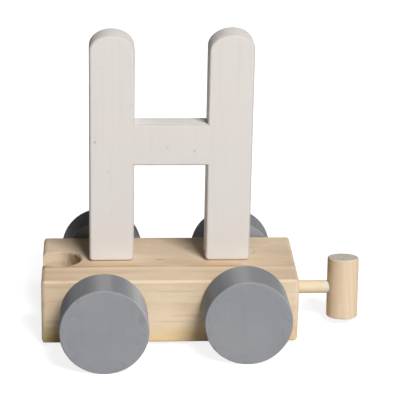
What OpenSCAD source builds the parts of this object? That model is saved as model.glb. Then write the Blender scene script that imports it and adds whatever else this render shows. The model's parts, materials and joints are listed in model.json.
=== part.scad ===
// Letter train car: a wooden wagon on two wheel sets that carries an upright capital H.
// Length runs along X with the coupling peg at +X, width along Y, and Z is up.
// The origin is on the floor, in the middle of the outline.

/* [Block] */
// Length of the wooden block
block_length = 80; // [76:0.5:110]
// Width of the wooden block
block_width = 40; // [36:0.5:50]
// Height of the wooden block
block_height = 20.4; // [20:0.1:30]
// Radius of the eased long edges
block_edge = 0.9; // [0.4:0.1:2]
// Radius of the eased edges of the end faces
block_end_edge = 1.4; // [0.4:0.1:2.5]
// Angle of the hook end out of square, in degrees
hook_end_skew = 2.2; // [0:0.1:3]

/* [Letter] */
// Height of the letter above the block
letter_height = 73.1; // [60:0.1:100]
// Thickness of the letter board
letter_thickness = 8.6; // [7:0.1:14]
// Width of each upright leg
leg_width = 14; // [11:0.1:15.6]
// Clear space between the legs
leg_space = 22.6; // [16:0.1:24]
// Radius of the rounded leg tops
leg_top_radius = 8; // [8:0.1:12]
// Radius of the rounded corners at each leg's foot
leg_foot_radius = 1.3; // [0.8:0.1:2.5]
// Height of the bar's underside above the block
bar_underside = 31.4; // [20:0.1:40]
// Height of the bar between the legs
bar_height = 13.2; // [8:0.1:20]
// Distance of the letter behind the middle of the block
letter_set_back = 1.7; // [-3:0.1:3]
// Radius of the eased letter edges
letter_edge = 0.8; // [0.4:0.1:1.2]

/* [Letter pegs] */
// Diameter of the two hidden pegs under the legs
letter_peg_diameter = 5; // [4:0.1:5.4]
// Depth of each hidden peg in its leg
letter_peg_in_leg = 12; // [8:0.5:24]
// Depth of each hidden peg in the block
letter_peg_in_block = 3.8; // [3:0.1:4.2]

/* [Wheels] */
// Diameter of the wheels
wheel_diameter = 26.6; // [26:0.1:34]
// Width of the wheels
wheel_width = 14.4; // [11:0.1:18]
// Radius of the rounded wheel rims
wheel_edge = 0.5; // [0.3:0.1:2]
// Side gap of the socket end's front wheel
socket_end_front_gap = 6.5; // [0.4:0.1:8]
// Side gap of the socket end's back wheel
socket_end_back_gap = 1; // [0.4:0.1:8]
// Side gap of each wheel at the hook end
hook_end_gap = 0.4; // [0.4:0.1:8]

/* [Axles] */
// Diameter of the axles
axle_diameter = 5; // [4:0.1:6]
// Distance between the socket end and its axle
socket_end_axle_inset = 19; // [18.5:0.1:24]
// Distance between the hook end and its axle
hook_end_axle_inset = 17.6; // [15.5:0.1:24]
// Height of the axles above the block's underside
axle_rise = 12.1; // [9:0.1:12.4]
// Depth of an axle in each wheel
axle_in_wheel = 9; // [5:0.1:10]

/* [Coupling] */
// Diameter of the upright coupling peg
peg_diameter = 10; // [9:0.1:12]
// Length of the coupling peg
peg_length = 19.5; // [14:0.1:22]
// Radius of the eased rims of the coupling peg
peg_edge = 0.5; // [0.2:0.1:1.5]
// Lean of the coupling peg about its rod, in degrees
peg_lean = 6.2; // [0:0.1:12]
// Distance between the block's end and the peg's axis
peg_reach = 15.9; // [13:0.1:24]
// Diameter of the coupling rod
rod_diameter = 4.2; // [3:0.1:5]
// Height of the coupling rod above the block's underside
rod_rise = 10.4; // [10:0.1:12]
// Depth of the coupling rod in the block
rod_in_block = 9; // [6:0.5:9]
// Depth of the coupling rod in the peg, from the peg's near side
rod_in_peg = 7; // [4:0.1:7.5]

/* [Coupling socket] */
// Diameter of the socket hole
socket_diameter = 13.6; // [13:0.1:14.4]
// Distance between the block's end and the socket's axis
socket_inset = 5.2; // [5:0.1:6]
// Width of the socket's throat in the end face
throat_width = 9.6; // [8:0.1:9.8]
// Depth of the bevel on the socket's rims
socket_bevel = 0.5; // [0.2:0.1:1]

/* [Fits] */
// Radial gap of the turning axles in the block
axle_clearance = 0.25; // [0.1:0.05:0.4]
// Radial gap of every glued round joint
glue_gap = 0.05; // [0.05:0.01:0.1]
// Gap at the bottom of every blind hole
hole_end_gap = 0.5; // [0.2:0.1:1]

/* [Hidden] */
// Smoothness of round faces
$fn = 96;
// Overlap of cutting tools beyond the faces they cut
over = 2;
// Overlap of the letter's bar with its legs
bar_joint = 3;
// Axle bores and the height of the block's underside above the floor
axle_bore = axle_diameter + 2 * axle_clearance;
axle_z = wheel_diameter / 2;
block_z = axle_z - axle_rise;
block_top = block_z + block_height;
rod_z = block_z + rod_rise;
// Places along the block, from its middle
socket_x = -block_length / 2 + socket_inset;
socket_end_axle_x = -block_length / 2 + socket_end_axle_inset;
hook_end_axle_x = block_length / 2 - hook_end_axle_inset;
leg_x = (leg_space + leg_width) / 2;
peg_x = block_length / 2 + peg_reach;
// Length and hole of the hidden pegs, and the holes of the coupling rod
letter_peg_length = letter_peg_in_block + letter_peg_in_leg;
letter_peg_hole = letter_peg_diameter + 2 * glue_gap;
rod_hole = rod_diameter + 2 * glue_gap;
// Middle of the outline, where the origin goes
front_side = block_width / 2 + wheel_width + max(socket_end_front_gap, hook_end_gap);
back_side = block_width / 2 + wheel_width + max(socket_end_back_gap, hook_end_gap);
middle_x = (peg_reach + peg_diameter / 2) / 2;
middle_y = (back_side - front_side) / 2;

// Moves a piece from the middle of the block to the origin of the outline
module in_frame() {
    translate([-middle_x, -middle_y, 0]) children();
}

// Rectangle with round corners, centred on the origin
module round_rectangle(width, height, radius) {
    square([width - 2 * radius, height], center = true);
    square([width, height - 2 * radius], center = true);
    for (side = [-1, 1]) {
        for (end = [-1, 1]) {
            translate([side * (width / 2 - radius), end * (height / 2 - radius)]) circle(r = radius);
        }
    }
}

// Half section of a turned piece with rounded rims, standing on the X axis
module turned_section(radius, length, edge) {
    translate([0, edge]) square([radius, length - 2 * edge]);
    square([radius - edge, length]);
    translate([radius - edge, edge]) circle(r = edge);
    translate([radius - edge, length - edge]) circle(r = edge);
}

// Place along the block of a round corner's middle at the skewed hook end
function hook_corner_x(y) =
    block_length / 2 + y * tan(hook_end_skew) - block_end_edge / cos(hook_end_skew);

// Outline of the block from above, with round corners and a skewed hook end
module block_outline() {
    side = block_width / 2;
    corner_y = side - block_end_edge;
    corner_x = block_end_edge - block_length / 2;
    end_x = block_end_edge * cos(hook_end_skew);
    end_y = block_end_edge * sin(hook_end_skew);
    front_x = hook_corner_x(-corner_y);
    back_x = hook_corner_x(corner_y);
    polygon([
        [corner_x, -side],
        [front_x, -side],
        [front_x + end_x, -corner_y - end_y],
        [back_x + end_x, corner_y - end_y],
        [back_x, side],
        [corner_x, side],
        [-block_length / 2, corner_y],
        [-block_length / 2, -corner_y]
    ]);
    translate([corner_x, -corner_y]) circle(r = block_end_edge);
    translate([corner_x, corner_y]) circle(r = block_end_edge);
    translate([front_x, -corner_y]) circle(r = block_end_edge);
    translate([back_x, corner_y]) circle(r = block_end_edge);
}

// Long bar across the block that eases the upper and lower edge of one end, which lies on X = 0
module eased_end() {
    translate([block_length, 0, block_height / 2]) rotate([90, 0, 0])
        linear_extrude(height = 2 * block_width, center = true)
            round_rectangle(2 * block_length, block_height, block_end_edge);
}

// Wooden block with eased edges, centred in X and Y, standing on Z = 0
module eased_block() {
    intersection() {
        translate([0, 0, block_height / 2]) rotate([90, 0, 90])
            linear_extrude(height = block_length + 4 * over, center = true)
                round_rectangle(block_width, block_height, block_edge);
        translate([-block_length / 2, 0, 0]) eased_end();
        translate([block_length / 2, 0, 0]) rotate([0, 0, 180 - hook_end_skew]) eased_end();
        translate([0, 0, -over]) linear_extrude(height = block_height + 2 * over) block_outline();
    }
}

// Hole for the next car's peg, with bevelled rims and a throat in the end face for its rod
module socket_cut() {
    translate([socket_x, 0, -over]) cylinder(d = socket_diameter, h = block_height + 2 * over);
    translate([socket_x, 0, block_height - socket_bevel])
        cylinder(d1 = socket_diameter, d2 = socket_diameter + 4 * socket_bevel, h = 2 * socket_bevel);
    translate([socket_x, 0, -socket_bevel])
        cylinder(d1 = socket_diameter + 4 * socket_bevel, d2 = socket_diameter, h = 2 * socket_bevel);
    translate([-block_length / 2 - over, -throat_width / 2, -over])
        cube([socket_inset + over, throat_width, block_height + 2 * over]);
}

// Through bore for an axle
module axle_cut(x) {
    translate([x, 0, axle_rise]) rotate([90, 0, 0])
        cylinder(d = axle_bore, h = block_width + 2 * over, center = true);
}

// Wooden block with its bores, its peg holes and the coupling socket
module chassis_block() {
    color([0.83, 0.68, 0.5]) in_frame() translate([0, 0, block_z]) difference() {
        eased_block();
        socket_cut();
        axle_cut(socket_end_axle_x);
        axle_cut(hook_end_axle_x);
        for (side = [-1, 1]) {
            translate([side * leg_x, letter_set_back, block_height - letter_peg_in_block - hole_end_gap])
                cylinder(d = letter_peg_hole, h = letter_peg_in_block + hole_end_gap + over);
        }
        translate([block_length / 2 - rod_in_block - hole_end_gap, 0, rod_rise]) rotate([0, 90, 0])
            cylinder(d = rod_hole, h = rod_in_block + hole_end_gap + over);
    }
}

// Upright leg with a rounded top and an eased foot, standing on Z = 0
module letter_leg() {
    top_centre = letter_height - leg_top_radius;
    intersection() {
        linear_extrude(height = letter_height + over)
            round_rectangle(leg_width, letter_thickness, letter_edge);
        translate([0, 0, letter_height]) rotate([90, 0, 0])
            linear_extrude(height = letter_thickness + over, center = true)
                round_rectangle(leg_width, 2 * letter_height, leg_foot_radius);
        translate([0, 0, letter_height]) rotate([90, 0, 90])
            linear_extrude(height = leg_width + over, center = true)
                round_rectangle(letter_thickness, 2 * letter_height, letter_edge);
        union() {
            translate([-leg_width, -letter_thickness, 0])
                cube([2 * leg_width, 2 * letter_thickness, top_centre]);
            translate([0, letter_thickness / 2, top_centre]) rotate([90, 0, 0])
                rotate_extrude() turned_section(leg_top_radius, letter_thickness, letter_edge);
        }
    }
}

// Painted capital H cut from one board, with a peg hole under each leg
module letter_h() {
    color([0.87, 0.84, 0.81]) in_frame() translate([0, letter_set_back, block_top]) difference() {
        union() {
            translate([-leg_x, 0, 0]) letter_leg();
            translate([leg_x, 0, 0]) letter_leg();
            translate([0, 0, bar_underside + bar_height / 2]) rotate([90, 0, 90])
                linear_extrude(height = leg_space + 2 * bar_joint, center = true)
                    round_rectangle(letter_thickness, bar_height, letter_edge);
        }
        for (side = [-1, 1]) {
            translate([side * leg_x, 0, -over])
                cylinder(d = letter_peg_hole, h = letter_peg_in_leg + hole_end_gap + over);
        }
    }
}

// Hidden peg that ties a leg to the block
module letter_peg(x) {
    color([0.8, 0.66, 0.48]) in_frame()
        translate([x, letter_set_back, block_top - letter_peg_in_block])
            cylinder(d = letter_peg_diameter, h = letter_peg_length);
}

// Hidden peg of the leg at the socket end
module letter_peg_socket_end() {
    letter_peg(-leg_x);
}

// Hidden peg of the leg at the hook end
module letter_peg_hook_end() {
    letter_peg(leg_x);
}

// Round wooden axle that turns in the block
module axle(x, front_gap, back_gap) {
    front_end = block_width / 2 + front_gap + axle_in_wheel;
    back_end = block_width / 2 + back_gap + axle_in_wheel;
    color([0.8, 0.66, 0.48]) in_frame() translate([x, back_end, axle_z]) rotate([90, 0, 0])
        cylinder(d = axle_diameter, h = front_end + back_end);
}

// Axle of the socket end
module axle_socket_end() {
    axle(socket_end_axle_x, socket_end_front_gap, socket_end_back_gap);
}

// Axle of the hook end
module axle_hook_end() {
    axle(hook_end_axle_x, hook_end_gap, hook_end_gap);
}

// Painted wheel with a blind bore, its inner face on Z = 0
module wheel() {
    difference() {
        rotate_extrude() turned_section(wheel_diameter / 2, wheel_width, wheel_edge);
        translate([0, 0, -over])
            cylinder(d = axle_diameter + 2 * glue_gap, h = axle_in_wheel + hole_end_gap + over);
    }
}

// Wheel on the front side of the block
module front_wheel(x, gap) {
    color([0.55, 0.56, 0.58]) in_frame() translate([x, -block_width / 2 - gap, axle_z])
        rotate([90, 0, 0]) wheel();
}

// Wheel on the back side of the block
module back_wheel(x, gap) {
    color([0.55, 0.56, 0.58]) in_frame() translate([x, block_width / 2 + gap, axle_z])
        rotate([-90, 0, 0]) wheel();
}

// Front wheel of the socket end
module wheel_socket_end_front() {
    front_wheel(socket_end_axle_x, socket_end_front_gap);
}

// Back wheel of the socket end
module wheel_socket_end_back() {
    back_wheel(socket_end_axle_x, socket_end_back_gap);
}

// Front wheel of the hook end
module wheel_hook_end_front() {
    front_wheel(hook_end_axle_x, hook_end_gap);
}

// Back wheel of the hook end
module wheel_hook_end_back() {
    back_wheel(hook_end_axle_x, hook_end_gap);
}

// Round rod between the block and the coupling peg
module coupling_rod() {
    rod_start = block_length / 2 - rod_in_block;
    rod_end = peg_x - peg_diameter / 2 + rod_in_peg;
    color([0.86, 0.72, 0.5]) in_frame() translate([rod_start, 0, rod_z]) rotate([0, 90, 0])
        cylinder(d = rod_diameter, h = rod_end - rod_start);
}

// Upright coupling peg with a blind hole for the rod
module coupling_peg() {
    color([0.8, 0.63, 0.45]) in_frame() translate([peg_x, 0, rod_z]) difference() {
        rotate([-peg_lean, 0, 0]) translate([0, 0, -peg_length / 2])
            rotate_extrude() turned_section(peg_diameter / 2, peg_length, peg_edge);
        translate([-peg_diameter / 2 - over, 0, 0]) rotate([0, 90, 0])
            cylinder(d = rod_hole, h = rod_in_peg + hole_end_gap + over);
    }
}

chassis_block();
letter_h();
letter_peg_socket_end();
letter_peg_hook_end();
axle_socket_end();
axle_hook_end();
wheel_socket_end_front();
wheel_socket_end_back();
wheel_hook_end_front();
wheel_hook_end_back();
coupling_rod();
coupling_peg();
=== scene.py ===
"""Looks of the letter train car: wood, paint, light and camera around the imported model."""
import json
import math
from collections import namedtuple

import bmesh
import bpy
from mathutils import Matrix, Vector


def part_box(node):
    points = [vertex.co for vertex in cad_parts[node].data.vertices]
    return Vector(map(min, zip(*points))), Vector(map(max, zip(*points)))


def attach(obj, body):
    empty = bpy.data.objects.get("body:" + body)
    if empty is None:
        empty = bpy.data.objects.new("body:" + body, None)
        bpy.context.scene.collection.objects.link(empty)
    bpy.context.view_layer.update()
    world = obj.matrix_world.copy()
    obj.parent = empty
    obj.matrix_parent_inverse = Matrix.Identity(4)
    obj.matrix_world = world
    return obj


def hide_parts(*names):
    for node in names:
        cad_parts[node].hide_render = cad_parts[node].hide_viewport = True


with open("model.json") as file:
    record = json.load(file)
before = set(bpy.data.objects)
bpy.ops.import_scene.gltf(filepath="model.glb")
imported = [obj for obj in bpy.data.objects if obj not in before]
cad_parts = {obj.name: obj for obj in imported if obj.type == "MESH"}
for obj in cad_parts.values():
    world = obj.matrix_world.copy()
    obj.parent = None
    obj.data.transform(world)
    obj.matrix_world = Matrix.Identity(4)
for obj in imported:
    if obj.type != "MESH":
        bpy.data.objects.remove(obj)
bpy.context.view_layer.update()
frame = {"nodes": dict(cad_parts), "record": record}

MM = 0.001
ENDS = ("socket_end", "hook_end")


def box(node):
    """Lowest and highest corner of a node at rest."""
    return tuple(Vector(corner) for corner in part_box(node))


def middle(node):
    """Middle of a node's box at rest."""
    low, high = box(node)
    return (low + high) / 2


BLOCK_LOW, BLOCK_HIGH = box("chassis_block")
LETTER_LOW, LETTER_HIGH = box("letter_h")
PEG_LOW = box("coupling_peg")[0]
WHEEL_LOW, WHEEL_HIGH = box("wheel_hook_end_front")
WHEEL_RADIUS = (WHEEL_HIGH.x - WHEEL_LOW.x) / 2
SOCKET = next(m for m in frame["record"]["mounts"] if m["name"] == "coupling_socket")
SOCKET_CENTRE = (SOCKET["pos_m"][0], SOCKET["pos_m"][1], 0)
SOCKET_RADIUS = SOCKET["dims"]["r_mm"] * MM

# Numbers of the materials. Tones are linear colours. A noise is its cycles per metre along X, Y
# and Z, its detail, its roughness and often its offset. A step is the low and high end of a smooth
# step, then its values there if they aren't 0 and 1. A ridge is where a rise starts and is full,
# and where the fall after it starts and ends. A mark is its strength and its tone. A spot is its
# mark, its place in a face and its size in mm, and how far it is drawn out along each axis. A
# height is each layer's share in the bump.
SATIN = 0.08
MATTE = 0.015
WOOD_BUMP = 0.22
PAINT_BUMP = 0.14
BUMP_DEPTH = 0.1 * MM
MIX_A, MIX_B, MIX_RESULT = 6, 7, 2  # colour sockets of a Mix node
SPOT_CORE = 0.45
EDGE_CORE = 0.2
NOISE_MIDDLE = 0.5

WoodTones = namedtuple("WoodTones", "light dark warm end")
GRAIN = {  # cycles per metre along and across the fibres, detail and roughness
    "wander": (7, 38, 2.0, 0.5),
    "fibre": (70, 2400, 3.0, 0.6),
    "streak": (11, 360, 4.0, 0.6),
    "pores": (190, 1900, 1.0, 0.5),
    "cloud": (16, 42, 3.0, 0.5),
    "patch": (30, 90, 2.0, 0.5),
    "lines": (12, 900, 3.0, 0.55),
}
END_SPECK = ((1300, 1300, 1300), 3.0, 0.65)
END_ROUGH = ((650, 650, 650), 3.0, 0.6)
WOOD_SEED_STEP = (1.7, 2.3, 0.9)
RING_WANDER = 3.2 * MM
RING_FAINTEST = 0.35
LATE_WOOD_RIDGE = (0.25, 0.88, 0.88, 1.0)
WOOD_STEPS = {
    "cloud": (0.35, 0.68),
    "patch": (0.3, 0.7),
    "dark_streak": (0.42, 0.72),
    "pale_streak": (0.28, 0.42, 1.0, 0.0),
    "fibre": (0.4, 0.75),
    "lines": (0.52, 0.7),
    "pores": (0.67, 0.75),
    "end_speck": (0.35, 0.7),
    "end_rough": (0.4, 0.7),
    "end_face": (0.72, 0.95),
    "roughness": (0.2, 0.8, 0.7, 0.82),
}
DARK_SHARES = {"dark_streak": 0.42, "fibre": 0.4, "lines": 0.65}  # of the contrast
SHADES = {  # strength, and factor on the light, dark or end tone
    "pale_streak": (0.25, 1.06),
    "pores": (0.2, 0.7),
    "end_late": (0.55, 0.68),
    "end_speck": (0.4, 0.55),
    "end_rough": (0.3, 1.2),
}
WOOD_HEIGHT = {"fibre": 0.6, "late": 0.35, "pores": -0.5, "end_speck": 1.2}

BLOCK_PINE = WoodTones(
    light=(0.84, 0.68, 0.49),
    dark=(0.6, 0.41, 0.245),
    warm=(0.79, 0.6, 0.41),
    end=(0.62, 0.46, 0.295),
)
BLOCK_PITH = Vector((0, BLOCK_HIGH.y + 12 * MM, BLOCK_LOW.z - 30 * MM))
BLOCK_RING = 4.6 * MM
BLOCK_SEED = 1
BLOCK_CONTRAST = 0.38
BLOCK_EDGE = 1.3 * MM
BLOCK_FOOT = (BLOCK_LOW.z + 4.2 * MM, BLOCK_LOW.z + 8.4 * MM)
BLOCK_FOOT_SWAY = 3 * MM
BLOCK_SHADED_TOP_FRONT = (3 * MM, 11 * MM)
GROWTH_LINE_Y = -4.7 * MM
GROWTH_LINE_SWAY = 0.8 * MM
GROWTH_LINE_DEPTH = (BLOCK_HIGH.z - 9 * MM, BLOCK_HIGH.z - 2 * MM)
GROWTH_LINE_FAINTEST = 0.12
GROWTH_LINE_PARTS = {  # mm from the line: start, full, full, end
    "line_dark_side": (-3.4, 0, 0, 0.6),
    "line_core": (-0.7, -0.1, -0.1, 0.3),
    "line_light_side": (0.3, 0.8, 0.8, 3.0),
}
# Reaches of the painted shade on the socket's wall and rim.
SOCKET_SHADED_WALL = (SOCKET_RADIUS + 0.3 * MM, SOCKET_RADIUS + 0.8 * MM)
SOCKET_SHADED_RIM = (SOCKET_RADIUS + 0.8 * MM, SOCKET_RADIUS + 1.4 * MM)
BLOCK_NOISE = {
    "foot": ((35, 60, 60), 2.0, 0.5, (4, 1, 2)),
    "sway": ((24, 0, 0), 2.0, 0.5, (2, 0, 0)),
    "worn": ((55, 8, 8), 2.0, 0.5, (6, 3, 1)),
    "grey": ((26, 60, 60), 3.0, 0.55, (5, 9, 4)),
    "cream": ((30, 75, 75), 3.0, 0.55, (1, 3, 8)),
    "edges": ((90, 90, 90), 3.0, 0.6, (8, 2, 5)),
    "ragged_noise": ((620, 620, 300), 3.0, 0.65, (3, 6, 2)),
}
BLOCK_STEPS = {
    "top": (0.6, 0.95),
    "worn": (0.3, 0.6, 0.6, 1.0),
    "grey": (0.45, 0.7),
    "cream": (0.48, 0.68),
    "edges": (0.3, 0.6, 0.25, 1.0),
    "to_mouth": (-0.75, 0.05, 1.0, 0.0),
    "torn_wall": (0.38, 0.6, 0.35, 1.0),
    "broken_rim_shade": (0.4, 0.6, 0.2, 1.0),
}
SOCKET_SLANT_RIDGE = (0.2, 0.5, 0.85, 0.97)
BLOCK_MARKS = {
    "foot": (0.88, (0.75, 0.52, 0.225)),
    # top and painted_shade_top_front are painted shade on the block's upward faces
    "top": (0.28, (0.6, 0.46, 0.345)),
    "painted_shade_top_front": (0.25, (0.6, 0.38, 0.23)),
    "line_dark_side": (0.5, (0.52, 0.33, 0.18)),
    "line_core": (0.6, (0.42, 0.26, 0.14)),
    "line_light_side": (0.4, (0.86, 0.72, 0.53)),
    "grey": (0.35, (0.72, 0.6, 0.44)),
    "cream": (0.45, (0.87, 0.72, 0.53)),
    "edges": (0.32, (0.88, 0.75, 0.59)),
    "speck": (0.6, (0.34, 0.23, 0.14)),
    "fleck": (0.5, (0.85, 0.75, 0.6)),
    "streak": (0.26, (0.56, 0.37, 0.21)),
    "chip": (0.5, (0.86, 0.74, 0.56)),
    # Painted shade in the socket: on its wall, partly torn end grain, and on its rim.
    "socket_wall_shade_and_torn_grain": (0.85, (0.27, 0.165, 0.085)),
    "socket_rim_painted_shade": (0.6, (0.45, 0.32, 0.2)),
}
BLOCK_TOP_SPOTS = (  # placed by X and Y
    ("speck", 16.5, 6.6, 0.5, (1.8, 1, 1)),
    ("speck", 17.3, 8.8, 0.35, (1, 2.2, 1)),
    ("speck", -3.9, 12, 0.5, (4, 1, 1)),
    ("speck", -13.4, 1.5, 0.45, (5, 1, 1)),
    ("fleck", -12.6, 18.9, 0.7, (1.6, 1, 1)),
    ("fleck", -16.7, 15.1, 0.6, (1.6, 1, 1)),
    ("fleck", 24.5, 16.8, 0.7, (1.6, 1, 1)),
    ("fleck", 21.6, 14.4, 0.5, (1.6, 1, 1)),
)
BLOCK_FRONT_SPOTS = (  # placed by X and Z
    ("streak", -46, 15.1, 0.78, (7.5, 1, 0.42)),
    ("streak", -45, 19.6, 0.84, (7.5, 1, 0.42)),
    ("streak", -8, 18.1, 1.08, (9, 1, 0.42)),
    ("streak", -5.6, 10.1, 1.02, (7.5, 1, 0.42)),
    ("streak", -9.6, 8.2, 0.9, (9, 1, 0.42)),
    ("streak", 22, 11.4, 1.02, (7.5, 1, 0.42)),
    ("streak", -30, 9.3, 1.2, (7.5, 1, 0.42)),
    ("chip", -14.9, 16, 0.7, (1.3, 1, 1)),
)

PEG_LIGHT, PEG_END = (0.8, 0.625, 0.435), (0.68, 0.62, 0.54)
ROD_LIGHT = (0.85, 0.71, 0.5)
HIDDEN_LIGHT = (0.74, 0.59, 0.41)
DOWEL_END = (0.5, 0.42, 0.34)
DOWEL_DARK = 0.74
DOWEL_WARM = 0.95
DOWEL_PITH = (11 * MM, 7 * MM, 9 * MM)
DOWEL_RING = 1.7 * MM
DOWEL_CONTRAST = 0.25
PEG_SEED, ROD_SEED, FIRST_AXLE_SEED = 2, 3, 4
LETTER_PEG_SEED_STEP = 4
BACK_WHEEL_SEED_STEP = 2
GLUE = (PEG_LOW.x - 1.1 * MM, PEG_LOW.x - 0.2 * MM)
GLUE_SWAY = 1.4 * MM
GLUE_NOISE = ((500, 500, 500), 2.0, 0.5)
GLUE_MARK = (0.7, (0.72, 0.68, 0.58))

LETTER_WHITES = ((0.742, 0.697, 0.655), (0.724, 0.679, 0.638))
LETTER_PAINTED_LIGHT_LOWER_HALF = (BLOCK_HIGH.z + 2 * MM, BLOCK_HIGH.z + 48 * MM)
LETTER_BOUNCE_LIGHT_FOOT = (BLOCK_HIGH.z + 1.5 * MM, BLOCK_HIGH.z + 7 * MM)
LETTER_NOISE = {
    "grain": ((750, 750, 26), 4.0, 0.6, (3, 1, 0)),
    "brush": ((36, 500, 420), 3.0, 0.6, (2, 5, 3)),
    "broad": ((120, 120, 12), 2.0, 0.5, (5, 2, 1)),
    "cloud": ((26, 26, 26), 2.0, 0.5, (1, 8, 2)),
    "stray": ((420, 420, 420), 0.0, 0.5, (7, 7, 7)),
}
LETTER_STEPS = {
    "broad": (0.3, 0.7),
    "cloud": (0.35, 0.65),
    "grain": (0.48, 0.72),
    "brush": (0.5, 0.75),
    "painted_light_top": (0.9, 0.99),
    "stray": (0.84, 0.88),
    "roughness": (0.2, 0.8, 0.6, 0.7),
}
LETTER_SHADED_RIM_RIDGE = (0.15, 0.45, 0.88, 0.99)
LETTER_HEIGHT = {"grain": 0.6, "brush": 0.4}
LETTER_MARKS = {
    "cloud": (0.8, (0.738, 0.69, 0.653)),
    "grain": (0.4, (0.68, 0.638, 0.6)),
    "brush": (0.1, (0.69, 0.648, 0.61)),
    "painted_light_lower_half": (0.55, (0.765, 0.745, 0.725)),
    "foot": (0.5, (0.82, 0.795, 0.775)),
    "painted_light_top": (0.7, (0.81, 0.775, 0.74)),
    "rim": (0.8, (0.58, 0.54, 0.51)),
    "speck": (0.6, (0.4, 0.36, 0.26)),
    "faint_speck": (0.22, (0.4, 0.36, 0.26)),
    "stray": (0.25, (0.5, 0.46, 0.42)),
}
LETTER_SPOTS = (  # placed by X and Z
    ("speck", -33.9, 60.6, 0.5, (1, 1, 1)),
    ("speck", -3.2, 57.8, 0.3, (1.5, 1, 1.6)),
    ("faint_speck", -29.7, 50.9, 0.45, (1, 1, 2.2)),
    ("faint_speck", -29, 37.5, 0.4, (1.5, 1, 1)),
    ("faint_speck", -32.6, 84.2, 0.35, (1, 1, 1.6)),
    ("faint_speck", -11.6, 59, 0.4, (1.5, 1, 2.2)),
)

WHEEL_GREYS = ((0.296, 0.302, 0.324), (0.32, 0.322, 0.34))
WHEEL_RIM_WEAR_AND_HIGHLIGHT_GREY = (0.38, 0.38, 0.39)
WHEEL_OUTER = (0.68 * WHEEL_RADIUS, 0.86 * WHEEL_RADIUS)
WHEEL_RIM = (WHEEL_RADIUS - 0.9 * MM, WHEEL_RADIUS - 0.2 * MM)
WHEEL_SEED_STEP = (2.1, 0.7, 1.3)
WHEEL_NOISE = {
    "fine": ((1400, 1400, 1400), 3.0, 0.6),
    "across": ((95, 6, 95), 3.0, 0.5),
    "upright": ((520, 60, 70), 3.0, 0.6),
    "cloud": ((60, 60, 60), 3.0, 0.55),
    "blotch": ((230, 230, 230), 2.0, 0.5),
    "speck": ((800, 800, 800), 0.0, 0.5),
}
WHEEL_FLECKS = ((480, 480, 480), 3.0, 0.6)
WHEEL_STEPS = {
    "cloud": (0.3, 0.7),
    "face": (0.6, 0.95),
    "dark_tread": (0.36, 0.68),
    "pale_tread": (0.25, 0.5, 1.0, 0.0),
    "upright": (0.5, 0.75),
    "blotch": (0.62, 0.78),
    "flecks": (0.52, 0.7),
    "rim_face": (0.15, 0.5),
    "rim_strength": (0.3, 0.7, 0.1, 0.3),
    "speck": (0.83, 0.87),
    "roughness": (0.2, 0.8, 0.65, 0.75),
}
WHEEL_HEIGHT = {"fine": 0.5, "upright": 0.3}
WHEEL_MARKS = {
    "dark_tread": (0.75, (0.2, 0.203, 0.215)),
    "pale_tread": (0.6, (0.4, 0.4, 0.41)),
    "upright": (0.3, (0.262, 0.265, 0.286)),
    "blotch": (0.3, (0.238, 0.245, 0.268)),
    "flecks": (0.4, (0.22, 0.228, 0.25)),
    "speck": (0.35, (0.42, 0.42, 0.43)),
}
PAINTED_HIGHLIGHT_GREY = (0.5, 0.485, 0.485)
PAINTED_SHADOW_GREY = (0.13, 0.132, 0.14)
STREAK_STRETCH = (1, 40, 1)
STREAK_CORE = 0.1
# Painted light on the treads: pale streaks are painted highlights, dark streaks are painted
# shadows.
TREAD_PAINTED_LIGHT = {  # degrees from +X towards the top, reach in mm, strength and tone
    "wheel_socket_end_front": ((93, 4.6, 0.4, PAINTED_HIGHLIGHT_GREY), (28, 9, 0.95, PAINTED_HIGHLIGHT_GREY)),
    "wheel_socket_end_back": ((125, 11, 0.45, PAINTED_SHADOW_GREY), (320, 6, 0.4, PAINTED_HIGHLIGHT_GREY)),
    "wheel_hook_end_front": ((100, 4.6, 0.4, PAINTED_HIGHLIGHT_GREY), (30, 5, 0.4, PAINTED_HIGHLIGHT_GREY)),
    "wheel_hook_end_back": (
        (130, 11, 0.5, PAINTED_SHADOW_GREY),
        (65, 9, 0.3, PAINTED_SHADOW_GREY),
        (310, 5, 0.4, PAINTED_HIGHLIGHT_GREY),
    ),
}

# Sizes of the letter's mesh
LETTER_EDGE = 0.8 * MM
LETTER_EDGE_STEPS = 5
LEG_TOP_RISE = 5.3 * MM
LEG_TOP_STEPS = 48
FOOT_RADIUS = 1.3 * MM
FOOT_STEPS = 8
BAR_UNDERSIDE = 31.4 * MM
BAR_HEIGHT = 13.2 * MM
HOOK_LEG_EXTRA = 0.5 * MM
HOOK_LEG_SHIFT = 0.6 * MM
SOCKET_LEG_DROP = 0.4 * MM
CAP_MARGIN = 0.4 * MM
PEG_HOLE_GAP = 0.05 * MM
PEG_HOLE_END = 0.5 * MM
PEG_HOLE_STEPS = 48
SHARP_ANGLE = 35

# Studio and camera
WHITE = (1, 1, 1, 1)
WORLD_LIGHT = 0.025
FLOOR_SIZE = 6.0
FLOOR_DROP = 0.05 * MM
FLOOR_BOUNCE = (0.7, 0.7, 0.7, 1)
FLOOR_SEEN = (0.45, 0.45, 0.45, 1)
FLOOR_FADE = {"From Min": 0.12, "From Max": 0.35, "To Min": 0.84, "To Max": 1.0}
DIRECT_RAYS = ("Is Camera Ray", "Is Glossy Ray", "Is Transmission Ray")
LAMP_TARGET = (0, 0, 0.04)
LAMPS = (  # name, azimuth and elevation in degrees, distance and size in metres, power in watts
    ("key", 24, 46, 2.0, 0.755, 40.5),
    ("fill", 24, 6, 2.0, 0.83, 4.4),
    ("back", 168, 6, 1.2, 0.7, 1.8),
)
CAMERA_PLACE = (-0.03654, -0.48009, 0.20007)
CAMERA_YAW, CAMERA_PITCH, CAMERA_ROLL = 4.21, -18.19, 1.12  # degrees
CAMERA_LENS = 146.03
CAMERA_SENSOR = 36.0
CAMERA_CLIP = (0.01, 20.0)


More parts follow.
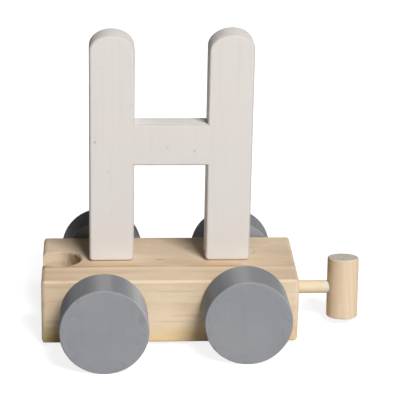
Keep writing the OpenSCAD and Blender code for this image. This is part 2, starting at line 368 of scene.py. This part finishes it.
def add_node(tree, kind, inputs=None, **values):
    """New node of a tree, with its properties and the values of its inputs set."""
    node = tree.nodes.new(kind)
    for key, value in values.items():
        setattr(node, key, value)
    for key, value in (inputs or {}).items():
        node.inputs[key].default_value = value
    return node


def along(axis, length_scale, cross_scale):
    """Scales of a noise that is drawn out along one axis."""
    return tuple(length_scale if i == axis else cross_scale for i in range(3))


def shade(tone, amount):
    """Tone made darker or lighter by a factor."""
    return tuple(amount * part for part in tone)


def from_seed(seed, step):
    """Offset of the noises of one piece."""
    return tuple(seed * part for part in step)


class Surface:
    """One material: helpers that add and link its nodes, and marks laid over its colour."""

    def __init__(self, name, specular):
        self.material = bpy.data.materials.new(name)
        self.material.use_nodes = True
        self.tree = self.material.node_tree
        self.tree.nodes.clear()
        self.shader = self.add("ShaderNodeBsdfPrincipled", {"Specular IOR Level": specular})
        output = self.add("ShaderNodeOutputMaterial")
        self.link(self.shader.outputs["BSDF"], output.inputs["Surface"])
        self.coords = self.add("ShaderNodeTexCoord")
        self.colour = None

    def add(self, kind, inputs=None, **values):
        return add_node(self.tree, kind, inputs, **values)

    def link(self, source, target):
        self.tree.links.new(source, target)

    def put(self, socket, value):
        """Links a socket to an input, or sets its value."""
        if isinstance(value, bpy.types.NodeSocket):
            self.link(value, socket)
        else:
            socket.default_value = value

    def math(self, operation, a, b=0.0):
        node = self.add("ShaderNodeMath", operation=operation)
        self.put(node.inputs[0], a)
        self.put(node.inputs[1], b)
        return node.outputs[0]

    def plus(self, a, b):
        return self.math("ADD", a, b)

    def minus(self, a, b):
        return self.math("SUBTRACT", a, b)

    def times(self, first, *others):
        for other in others:
            first = self.math("MULTIPLY", first, other)
        return first

    def place(self, scale, offset=(0, 0, 0)):
        """Place on the piece, scaled and moved."""
        node = self.add("ShaderNodeMapping", {"Scale": scale, "Location": offset})
        self.link(self.coords.outputs["Object"], node.inputs["Vector"])
        return node.outputs["Vector"]

    def split(self, output):
        node = self.add("ShaderNodeSeparateXYZ")
        self.link(self.coords.outputs[output], node.inputs[0])
        return node.outputs

    def where(self):
        """X, Y and Z of the place."""
        return self.split("Object")

    def normal(self):
        """X, Y and Z of the way that the surface faces."""
        return self.split("Normal")

    def noise(self, scale, detail, roughness, offset=(0, 0, 0)):
        """Noise with its own scale along each axis, in cycles per metre."""
        settings = {"Scale": 1.0, "Detail": detail, "Roughness": roughness}
        node = self.add("ShaderNodeTexNoise", settings)
        self.link(self.place(scale, offset), node.inputs["Vector"])
        return node.outputs["Fac"]

    def band(self, value, low, high, start=0.0, end=1.0):
        """Smooth step of a value from low to high."""
        reach = {"From Min": low, "From Max": high, "To Min": start, "To Max": end}
        node = self.add("ShaderNodeMapRange", reach, interpolation_type="SMOOTHSTEP")
        self.put(node.inputs["Value"], value)
        return node.outputs["Result"]

    def fall(self, value, low, high):
        """Smooth step of a value down from 1 to 0."""
        return self.band(value, low, high, 1.0, 0.0)

    def ridge(self, value, start, full, fall, end):
        """Smooth step of a value up and down again."""
        return self.times(self.band(value, start, full), self.fall(value, fall, end))

    def mix(self, factor, a, b):
        node = self.add("ShaderNodeMix", data_type="RGBA")
        self.put(node.inputs["Factor"], factor)
        for i, value in ((MIX_A, a), (MIX_B, b)):
            linked = isinstance(value, bpy.types.NodeSocket)
            self.put(node.inputs[i], value if linked else (*value, 1.0))
        return node.outputs[MIX_RESULT]

    def tint(self, colour, mask, strength, tone):
        """Colour with a tone laid over it where a mask is."""
        return self.mix(self.times(mask, strength), colour, tone)

    def mark(self, mask, strength, tone):
        """Lays a tone over the material's colour where a mask is."""
        self.colour = self.tint(self.colour, mask, strength, tone)

    def away(self, centre, scale):
        """Distance from a place, with its own scale along each axis."""
        node = self.add("ShaderNodeVectorMath", {1: centre}, operation="DISTANCE")
        self.link(self.place(scale), node.inputs[0])
        return node.outputs["Value"]

    def around(self, axis, centre):
        """Distance from a line along an axis."""
        where = self.where()
        squares = []
        for i in range(3):
            if i != axis:
                offset = self.minus(where[i], centre[i])
                squares.append(self.times(offset, offset))
        return self.math("SQRT", self.plus(*squares))

    def spot(self, centre, size, stretch, core=SPOT_CORE):
        """Soft round mark around a place, drawn out along an axis by a stretch above 1."""
        scale = Vector((1 / stretch[0], 1 / stretch[1], 1 / stretch[2]))
        return self.fall(self.away(Vector(centre) * scale, tuple(scale)), core * size, size)

    def edges(self, low, high, reach):
        """Mask of the edges of a box: high where two of its sides are both near."""
        where = self.where()
        near = []
        for i in range(3):
            below, above = self.minus(where[i], low[i]), self.minus(high[i], where[i])
            near.append(self.math("MINIMUM", below, above))
        small = self.math("MINIMUM", near[0], near[1])
        large = self.math("MAXIMUM", near[0], near[1])
        second = self.math("MAXIMUM", small, self.math("MINIMUM", large, near[2]))
        return self.fall(second, EDGE_CORE * reach, reach)

    def weigh(self, layers, shares):
        """Sum of layers, each times its share."""
        parts = [self.times(layers[name], share) for name, share in shares.items()]
        total = parts[0]
        for part in parts[1:]:
            total = self.plus(total, part)
        return total

    def close(self, roughness, height, bump):
        """Links colour, roughness and bump to the shader and gives the material."""
        self.put(self.shader.inputs["Base Color"], self.colour)
        self.put(self.shader.inputs["Roughness"], roughness)
        node = self.add("ShaderNodeBump", {"Strength": bump, "Distance": BUMP_DEPTH})
        self.link(height, node.inputs["Height"])
        self.link(node.outputs["Normal"], self.shader.inputs["Normal"])
        return self.material


class Wood(Surface):
    """Bare sanded wood: growth rings around a pith line, fibres, pores and darker end grain."""

    def __init__(self, name, axis, pith, ring, tones, seed, contrast):
        super().__init__(name, SATIN)
        self.axis, self.end = axis, tones.end
        self.shift = from_seed(seed, WOOD_SEED_STEP)
        self.last = []
        self.radius = self.around(axis, pith)
        bent = self.plus(self.radius, self.times(self.grain("wander"), RING_WANDER))
        phase = self.math("FRACT", self.math("DIVIDE", bent, ring))
        self.late = self.ridge(phase, *LATE_WOOD_RIDGE)
        self.fibre, self.streak = self.grain("fibre"), self.grain("streak")
        self.pores = self.step("pores", self.grain("pores"))
        self.lay_grain(tones, contrast)

    def step(self, name, value):
        return self.band(value, *WOOD_STEPS[name])

    def grain(self, layer, turned=False):
        """Noise drawn out along the fibres."""
        length_scale, cross_scale, detail, roughness = GRAIN[layer]
        offset = self.shift[::-1] if turned else self.shift
        return self.noise(along(self.axis, length_scale, cross_scale), detail, roughness, offset)

    def lay_grain(self, tones, contrast):
        """Colour of the long grain."""
        ends = (RING_FAINTEST * contrast, contrast)
        patch = self.band(self.grain("patch", True), *WOOD_STEPS["patch"], *ends)
        dark = {name: (share * contrast, tones.dark) for name, share in DARK_SHARES.items()}
        cloud = self.step("cloud", self.grain("cloud"))
        self.colour = self.mix(cloud, tones.light, tones.warm)
        self.mark(self.late, patch, tones.dark)
        self.mark(self.step("dark_streak", self.streak), *dark["dark_streak"])
        self.mark(self.step("pale_streak", self.streak), *self.shaded("pale_streak", tones.light))
        self.mark(self.step("fibre", self.fibre), *dark["fibre"])
        self.mark(self.step("lines", self.grain("lines", True)), *dark["lines"])
        self.mark(self.pores, *self.shaded("pores", tones.dark))

    def shaded(self, name, tone):
        """Strength of a mark and its tone, as a shade of another."""
        strength, amount = SHADES[name]
        return strength, shade(tone, amount)

    def finish(self):
        """Adds the end grain and the last marks, and gives the material."""
        speck = self.step("end_speck", self.noise(*END_SPECK, self.shift))
        rough = self.step("end_rough", self.noise(*END_ROUGH, self.shift))
        end = self.end
        for name, mask in (("end_late", self.late), ("end_speck", speck), ("end_rough", rough)):
            end = self.tint(end, mask, *self.shaded(name, self.end))
        across = self.step("end_face", self.math("ABSOLUTE", self.normal()[self.axis]))
        self.colour = self.mix(across, self.colour, end)
        for mask, strength, tone in self.last:
            self.mark(mask, strength, tone)
        layers = {"fibre": self.fibre, "late": self.late, "pores": self.pores}
        layers["end_speck"] = self.times(speck, across)
        roughness = self.step("roughness", self.streak)
        return self.close(roughness, self.weigh(layers, WOOD_HEIGHT), WOOD_BUMP)


def growth_line(wood):
    """One brown growth line along the block's top, with a paler side, fainter further down."""
    line = (Vector((0, GROWTH_LINE_Y, BLOCK_HIGH.z)) - BLOCK_PITH).yz.length
    sway = wood.minus(wood.noise(*BLOCK_NOISE["sway"]), NOISE_MIDDLE)
    sway = wood.times(sway, GROWTH_LINE_SWAY)
    apart = wood.minus(wood.plus(wood.radius, sway), line)
    depth = wood.band(wood.where()[2], *GROWTH_LINE_DEPTH, GROWTH_LINE_FAINTEST, 1.0)
    worn = wood.band(wood.noise(*BLOCK_NOISE["worn"]), *BLOCK_STEPS["worn"])
    for part, wear in (("line_dark_side", worn), ("line_core", worn), ("line_light_side", 1.0)):
        shape = wood.ridge(apart, *(edge * MM for edge in GROWTH_LINE_PARTS[part]))
        wood.mark(wood.times(shape, wear, depth), *BLOCK_MARKS[part])


def block_spots(wood):
    """Specks and streaks on the block's top and front."""
    for mark, x, y, size, stretch in BLOCK_TOP_SPOTS:
        mask = wood.spot((x * MM, y * MM, BLOCK_HIGH.z), size * MM, stretch)
        wood.mark(mask, *BLOCK_MARKS[mark])
    for mark, x, z, size, stretch in BLOCK_FRONT_SPOTS:
        mask = wood.spot((x * MM, BLOCK_LOW.y, z * MM), size * MM, stretch)
        wood.mark(mask, *BLOCK_MARKS[mark])


def socket_shade_and_grain(wood):
    """Painted shade with some torn end grain on the socket's wall that faces its mouth, and painted
    shade along its rim, both broken up by noise.
    """
    normal = wood.normal()
    radius = wood.away(SOCKET_CENTRE, (1, 1, 0))
    ragged_noise = wood.noise(*BLOCK_NOISE["ragged_noise"])
    facing = wood.band(normal[0], *BLOCK_STEPS["to_mouth"])
    ragged = wood.band(ragged_noise, *BLOCK_STEPS["torn_wall"])
    wall_shade = wood.times(wood.fall(radius, *SOCKET_SHADED_WALL), facing, ragged)
    wood.last.append((wall_shade, *BLOCK_MARKS["socket_wall_shade_and_torn_grain"]))
    slant = wood.ridge(normal[2], *SOCKET_SLANT_RIDGE)
    broken = wood.band(ragged_noise, *BLOCK_STEPS["broken_rim_shade"])
    rim = wood.times(wood.fall(radius, *SOCKET_SHADED_RIM), slant, broken)
    wood.last.append((rim, *BLOCK_MARKS["socket_rim_painted_shade"]))


def block_wood():
    """Pale pine of the block: a brown growth line along its top, a yellow foot, painted shade on
    the top and in the socket.
    """
    wood = Wood("block_pine", 0, BLOCK_PITH, BLOCK_RING, BLOCK_PINE, BLOCK_SEED, BLOCK_CONTRAST)
    where, normal = wood.where(), wood.normal()
    foot = wood.plus(where[2], wood.times(wood.noise(*BLOCK_NOISE["foot"]), BLOCK_FOOT_SWAY))
    wood.mark(wood.fall(foot, *BLOCK_FOOT), *BLOCK_MARKS["foot"])
    # Painted shade: the top faces are made darker and pinker, and the front half of the top more
    # so.
    top = wood.band(normal[2], *BLOCK_STEPS["top"])
    wood.mark(top, *BLOCK_MARKS["top"])
    wood.mark(wood.times(top, wood.fall(where[1], *BLOCK_SHADED_TOP_FRONT)), *BLOCK_MARKS["painted_shade_top_front"])
    growth_line(wood)
    for name in ("grey", "cream"):
        mask = wood.band(wood.noise(*BLOCK_NOISE[name]), *BLOCK_STEPS[name])
        wood.mark(mask, *BLOCK_MARKS[name])
    edges = wood.edges(BLOCK_LOW, BLOCK_HIGH, BLOCK_EDGE)
    uneven = wood.band(wood.noise(*BLOCK_NOISE["edges"]), *BLOCK_STEPS["edges"])
    wood.mark(wood.times(edges, uneven), *BLOCK_MARKS["edges"])
    block_spots(wood)
    socket_shade_and_grain(wood)
    return wood.finish()


def dowel(name, axis, centre, light, seed, end=DOWEL_END):
    """Pale birch of the pegs, the rod and the axles."""
    offset = Vector(DOWEL_PITH)
    offset[axis] = 0
    tones = WoodTones(light, shade(light, DOWEL_DARK), shade(light, DOWEL_WARM), end)
    return Wood(name, axis, centre + offset, DOWEL_RING, tones, seed, DOWEL_CONTRAST)


def rod_wood():
    """Birch of the coupling rod, with a pale ring of dried glue where it enters the peg."""
    wood = dowel("rod_birch", 0, PEG_LOW, ROD_LIGHT, ROD_SEED)
    uneven = wood.times(wood.noise(*GLUE_NOISE), GLUE_SWAY)
    wood.mark(wood.band(wood.plus(wood.where()[0], uneven), *GLUE), *GLUE_MARK)
    return wood.finish()


def letter_paint():
    """Thin warm white paint over upright board grain, with a few tiny specks, painted light on its
    lower half, foot and upward faces, and painted shade on its rounded rims.
    """
    paint = Surface("letter_paint_white", SATIN)
    layers = {name: paint.noise(*noise) for name, noise in LETTER_NOISE.items()}
    where, normal = paint.where(), paint.normal()
    facing = paint.math("ABSOLUTE", normal[1])

    def step(name, value):
        return paint.band(value, *LETTER_STEPS[name])

    paint.colour = paint.mix(step("broad", layers["broad"]), *LETTER_WHITES)
    for name in ("cloud", "grain", "brush"):
        paint.mark(step(name, layers[name]), *LETTER_MARKS[name])
    # Painted light: the lower half of the letter is made lighter.
    paint.mark(paint.fall(where[2], *LETTER_PAINTED_LIGHT_LOWER_HALF), *LETTER_MARKS["painted_light_lower_half"])
    # Painted light: a lighter band just above the letter's foot stands in for light bounced off the
    # block.
    paint.mark(paint.fall(where[2], *LETTER_BOUNCE_LIGHT_FOOT), *LETTER_MARKS["foot"])
    # Painted light: the letter's upward faces are made lighter.
    paint.mark(step("painted_light_top", normal[2]), *LETTER_MARKS["painted_light_top"])
    # Painted shade: the rounded rims between the letter's faces and its sides are made darker.
    paint.mark(paint.ridge(facing, *LETTER_SHADED_RIM_RIDGE), *LETTER_MARKS["rim"])
    for mark, x, z, size, stretch in LETTER_SPOTS:
        mask = paint.spot((x * MM, LETTER_LOW.y, z * MM), size * MM, stretch)
        paint.mark(mask, *LETTER_MARKS[mark])
    paint.mark(step("stray", layers["stray"]), *LETTER_MARKS["stray"])
    roughness = step("roughness", layers["broad"])
    return paint.close(roughness, paint.weigh(layers, LETTER_HEIGHT), PAINT_BUMP)


def wheel_paint(name, centre, seed, painted_light):
    """Matte blue-grey paint on turned wood, lighter on the rims from wear and a painted highlight,
    with painted highlights and painted shadows across the tread.
    """
    paint = Surface(name, MATTE)
    shift = from_seed(seed, WHEEL_SEED_STEP)
    layers = {layer: paint.noise(*noise, shift) for layer, noise in WHEEL_NOISE.items()}
    facing = paint.math("ABSOLUTE", paint.normal()[1])

    def step(name, value):
        return paint.band(value, *WHEEL_STEPS[name])

    face = step("face", facing)
    tread = paint.minus(1.0, face)
    paint.colour = paint.mix(step("cloud", layers["cloud"]), *WHEEL_GREYS)
    for layer in ("dark_tread", "pale_tread"):
        mask = paint.times(step(layer, layers["across"]), tread)
        paint.mark(mask, *WHEEL_MARKS[layer])
    # Painted highlights and painted shadows, placed on the tread by angle.
    for angle, reach, strength, tone in painted_light:
        turn = math.radians(angle)
        edge = centre + WHEEL_RADIUS * Vector((math.cos(turn), 0, math.sin(turn)))
        mask = paint.spot(edge, reach * MM, STREAK_STRETCH, STREAK_CORE)
        paint.mark(paint.times(mask, tread), strength, tone)
    for layer in ("upright", "blotch"):
        paint.mark(step(layer, layers[layer]), *WHEEL_MARKS[layer])
    radius = paint.around(1, centre)
    outer = paint.times(paint.band(radius, *WHEEL_OUTER), face)
    flecks = step("flecks", paint.noise(*WHEEL_FLECKS, shift[::-1]))
    paint.mark(paint.times(outer, flecks), *WHEEL_MARKS["flecks"])
    # Lighter rim of each face: partly worn paint, partly painted highlight.
    rim = paint.times(paint.band(radius, *WHEEL_RIM), step("rim_face", facing))
    paint.mark(rim, step("rim_strength", layers["cloud"]), WHEEL_RIM_WEAR_AND_HIGHLIGHT_GREY)
    paint.mark(step("speck", layers["speck"]), *WHEEL_MARKS["speck"])
    roughness = step("roughness", layers["cloud"])
    return paint.close(roughness, paint.weigh(layers, WHEEL_HEIGHT), PAINT_BUMP)


def oval(x, z, rx, rz, start, steps, turn):
    """Points of part of an oval in the X-Z plane from a start angle on, each with its way out."""
    points = []
    for i in range(steps + 1):
        t = math.radians(start + turn * i / steps)
        out = Vector((math.cos(t) / rx, math.sin(t) / rz)).normalized()
        points.append((Vector((x + rx * math.cos(t), z + rz * math.sin(t))), out))
    return points


def letter_outline(legs, half, share):
    """Outline of the H at a share of its depth, counter-clockwise from the front, with ways out."""
    left, right = legs
    foot, top = LETTER_LOW.z, LETTER_HIGH.z
    bar_low = BLOCK_HIGH.z + BAR_UNDERSIDE
    bar_high = bar_low + BAR_HEIGHT
    points = []

    def foot_of(leg):
        for side, start in ((-1, 180), (1, 270)):
            x, z = leg + side * (half - FOOT_RADIUS), foot + FOOT_RADIUS
            points.extend(oval(x, z, FOOT_RADIUS, FOOT_RADIUS, start, FOOT_STEPS, 90))

    def top_of(leg, height, shift):
        start = height - LEG_TOP_RISE
        for point, out in oval(leg, start, half, LEG_TOP_RISE, 0, LEG_TOP_STEPS, 180):
            point.x += shift * (point.y - start) / LEG_TOP_RISE
            points.append((point, out))

    def corner(x, z, out):
        points.append((Vector((x, z)), Vector(out)))

    foot_of(left)
    corner(left + half, bar_low, (1, -1))
    corner(right - half, bar_low, (-1, -1))
    foot_of(right)
    top_of(right, top + HOOK_LEG_EXTRA * share, HOOK_LEG_SHIFT)
    corner(right - half, bar_high, (-1, 1))
    corner(left + half, bar_high, (1, 1))
    top_of(left, top - SOCKET_LEG_DROP * (1 - share), 0)
    return points


def letter_rings():
    """Insets of the outline and places along Y, from inside the front face to inside the back."""
    front = [(LETTER_EDGE + CAP_MARGIN, 0.0)]
    for i in range(LETTER_EDGE_STEPS + 1):
        t = math.radians(90 * i / LETTER_EDGE_STEPS)
        front.append((LETTER_EDGE * (1 - math.sin(t)), LETTER_EDGE * (1 - math.cos(t))))
    rings = [(inset, LETTER_LOW.y + depth) for inset, depth in front]
    return rings + [(inset, LETTER_HIGH.y - depth) for inset, depth in reversed(front)]


def cut_peg_holes(item):
    """Cuts the hole of each hidden peg into a leg's foot."""
    cutters = []
    for end in ENDS:
        low, high = box("letter_peg_" + end)
        top, bottom = high.z + PEG_HOLE_END, low.z
        bpy.ops.mesh.primitive_cylinder_add(
            vertices=PEG_HOLE_STEPS,
            radius=(high.x - low.x) / 2 + PEG_HOLE_GAP,
            depth=top - bottom,
            location=((low.x + high.x) / 2, (low.y + high.y) / 2, (top + bottom) / 2),
        )
        cutters.append(bpy.context.object)
        cut = item.modifiers.new("hole", "BOOLEAN")
        cut.operation, cut.solver, cut.object = "DIFFERENCE", "EXACT", cutters[-1]
    graph = bpy.context.evaluated_depsgraph_get()
    mesh = bpy.data.meshes.new_from_object(item.evaluated_get(graph))
    item.modifiers.clear()
    item.data = mesh
    for cutter in cutters:
        bpy.data.objects.remove(cutter, do_unlink=True)


def letter_mesh():
    """Mesh of the H, ring by ring from its front face to its back, without the peg holes."""
    pegs = [box("letter_peg_" + end) for end in ENDS]
    legs = [(low.x + high.x) / 2 for low, high in pegs]
    half = legs[0] - LETTER_LOW.x
    shape = bmesh.new()
    rings = []
    for inset, y in letter_rings():
        share = (y - LETTER_LOW.y) / (LETTER_HIGH.y - LETTER_LOW.y)
        places = (point - inset * out for point, out in letter_outline(legs, half, share))
        rings.append([shape.verts.new((place.x, y, place.y)) for place in places])
    for near, far in zip(rings, rings[1:]):
        for i in range(len(near)):
            j = (i + 1) % len(near)
            shape.faces.new((near[i], near[j], far[j], far[i]))
    shape.faces.new(rings[0][::-1])
    shape.faces.new(rings[-1])
    bmesh.ops.recalc_face_normals(shape, faces=shape.faces)
    mesh = bpy.data.meshes.new("letter_board")
    shape.to_mesh(mesh)
    shape.free()
    return mesh


def letter_board():
    """The H with oval leg tops that run smoothly into the sides, in place of its plainer solid."""
    item = bpy.data.objects.new("letter_board", letter_mesh())
    bpy.context.collection.objects.link(item)
    cut_peg_holes(item)
    item.data.shade_smooth()
    item.data.set_sharp_from_angle(angle=math.radians(SHARP_ANGLE))
    item.data.materials.clear()
    item.data.materials.append(letter_paint())
    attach(item, "chassis")
    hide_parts("letter_h")


def dress(node, material):
    """Gives a node of the model one material."""
    piece = frame["nodes"][node]
    piece.data.materials.clear()
    piece.data.materials.append(material)


def dress_model():
    """Gives every piece its material."""
    dress("chassis_block", block_wood())
    letter_board()
    peg = dowel("peg_birch", 2, middle("coupling_peg"), PEG_LIGHT, PEG_SEED, PEG_END)
    dress("coupling_peg", peg.finish())
    dress("coupling_rod", rod_wood())
    for seed, end in enumerate(ENDS, FIRST_AXLE_SEED):
        axle, peg = "axle_" + end, "letter_peg_" + end
        centre = middle(axle)
        dress(axle, dowel("axle_birch_" + end, 1, centre, HIDDEN_LIGHT, seed).finish())
        step = LETTER_PEG_SEED_STEP
        wood = dowel("letter_peg_birch_" + end, 2, middle(peg), HIDDEN_LIGHT, seed + step)
        dress(peg, wood.finish())
        for side, step in (("front", 0), ("back", BACK_WHEEL_SEED_STEP)):
            name = f"wheel_{end}_{side}"
            dress(name, wheel_paint(name + "_paint_grey", centre, seed + step, TREAD_PAINTED_LIGHT[name]))


def seen_directly(tree):
    """Factor that is 1 for rays from the camera, a mirror or glass."""
    path = add_node(tree, "ShaderNodeLightPath")
    total = path.outputs[DIRECT_RAYS[0]]
    for name in DIRECT_RAYS[1:]:
        larger = add_node(tree, "ShaderNodeMath", operation="MAXIMUM")
        tree.links.new(total, larger.inputs[0])
        tree.links.new(path.outputs[name], larger.inputs[1])
        total = larger.outputs[0]
    return total


def white_world():
    """White behind the car, and a dim even light on it."""
    world = bpy.data.worlds.new("studio")
    bpy.context.scene.world = world
    world.use_nodes = True
    tree = world.node_tree
    tree.nodes.clear()
    dim = add_node(tree, "ShaderNodeBackground", {"Color": WHITE, "Strength": WORLD_LIGHT})
    white = add_node(tree, "ShaderNodeBackground", {"Color": WHITE, "Strength": 1.0})
    blend = add_node(tree, "ShaderNodeMixShader")
    output = add_node(tree, "ShaderNodeOutputWorld")
    tree.links.new(seen_directly(tree), blend.inputs[0])
    tree.links.new(dim.outputs[0], blend.inputs[1])
    tree.links.new(white.outputs[0], blend.inputs[2])
    tree.links.new(blend.outputs[0], output.inputs["Surface"])


def floor_paint():
    """Pale paint that is white to the eye where it is lit and keeps a faint shadow of the car."""
    material = bpy.data.materials.new("floor_white")
    material.use_nodes = True
    tree = material.node_tree
    tree.nodes.clear()
    seen = seen_directly(tree)
    coords = add_node(tree, "ShaderNodeTexCoord")
    reach = add_node(tree, "ShaderNodeVectorMath", operation="LENGTH")
    fade = add_node(tree, "ShaderNodeMapRange", FLOOR_FADE)
    share = add_node(tree, "ShaderNodeMath", operation="MULTIPLY")
    tones = {MIX_A: FLOOR_BOUNCE, MIX_B: FLOOR_SEEN}
    tone = add_node(tree, "ShaderNodeMix", tones, data_type="RGBA")
    diffuse = add_node(tree, "ShaderNodeBsdfDiffuse")
    glow = add_node(tree, "ShaderNodeEmission")
    total = add_node(tree, "ShaderNodeAddShader")
    output = add_node(tree, "ShaderNodeOutputMaterial")
    tree.links.new(coords.outputs["Object"], reach.inputs[0])
    tree.links.new(reach.outputs["Value"], fade.inputs["Value"])
    tree.links.new(seen, share.inputs[0])
    tree.links.new(fade.outputs["Result"], share.inputs[1])
    tree.links.new(seen, tone.inputs["Factor"])
    tree.links.new(tone.outputs[MIX_RESULT], diffuse.inputs["Color"])
    tree.links.new(share.outputs[0], glow.inputs["Strength"])
    tree.links.new(diffuse.outputs[0], total.inputs[0])
    tree.links.new(glow.outputs[0], total.inputs[1])
    tree.links.new(total.outputs[0], output.inputs["Surface"])
    return material


def white_floor():
    """Pale floor under the car."""
    bpy.ops.mesh.primitive_plane_add(size=FLOOR_SIZE, location=(0, 0, -FLOOR_DROP))
    floor = bpy.context.object
    floor.name = "floor"
    floor.data.materials.append(floor_paint())


def lamp(name, azimuth, elevation, distance, size, power):
    """Square area lamp aimed at the car; azimuth counts from the front towards the hook end."""
    data = bpy.data.lights.new(name, "AREA")
    data.shape = "SQUARE"
    data.size = size
    data.energy = power
    item = bpy.data.objects.new(name, data)
    bpy.context.collection.objects.link(item)
    a, e = math.radians(azimuth), math.radians(elevation)
    way = Vector((math.sin(a) * math.cos(e), -math.cos(a) * math.cos(e), math.sin(e)))
    item.location = Vector(LAMP_TARGET) + distance * way
    item.rotation_euler = (Vector(LAMP_TARGET) - item.location).to_track_quat("-Z", "Y").to_euler()


def camera():
    """Camera where the photograph was taken from, worked out from the car's edges."""
    yaw, pitch, roll = (math.radians(v) for v in (CAMERA_YAW, CAMERA_PITCH, CAMERA_ROLL))
    level = math.cos(pitch)
    forward = Vector((math.sin(yaw) * level, math.cos(yaw) * level, math.sin(pitch)))
    right = forward.cross(Vector((0, 0, 1))).normalized()
    up = right.cross(forward)
    side = right * math.cos(roll) + up * math.sin(roll)
    top = up * math.cos(roll) - right * math.sin(roll)
    data = bpy.data.cameras.new("photo_camera")
    data.sensor_width = CAMERA_SENSOR
    data.sensor_fit = "HORIZONTAL"
    data.lens = CAMERA_LENS
    data.clip_start, data.clip_end = CAMERA_CLIP
    item = bpy.data.objects.new("photo_camera", data)
    bpy.context.collection.objects.link(item)
    turn = Matrix((side, top, -forward)).transposed().to_4x4()
    item.matrix_world = Matrix.Translation(CAMERA_PLACE) @ turn
    bpy.context.scene.camera = item


dress_model()
white_world()
white_floor()
for values in LAMPS:
    lamp(*values)
camera()
bpy.context.scene.view_settings.view_transform = "Standard"
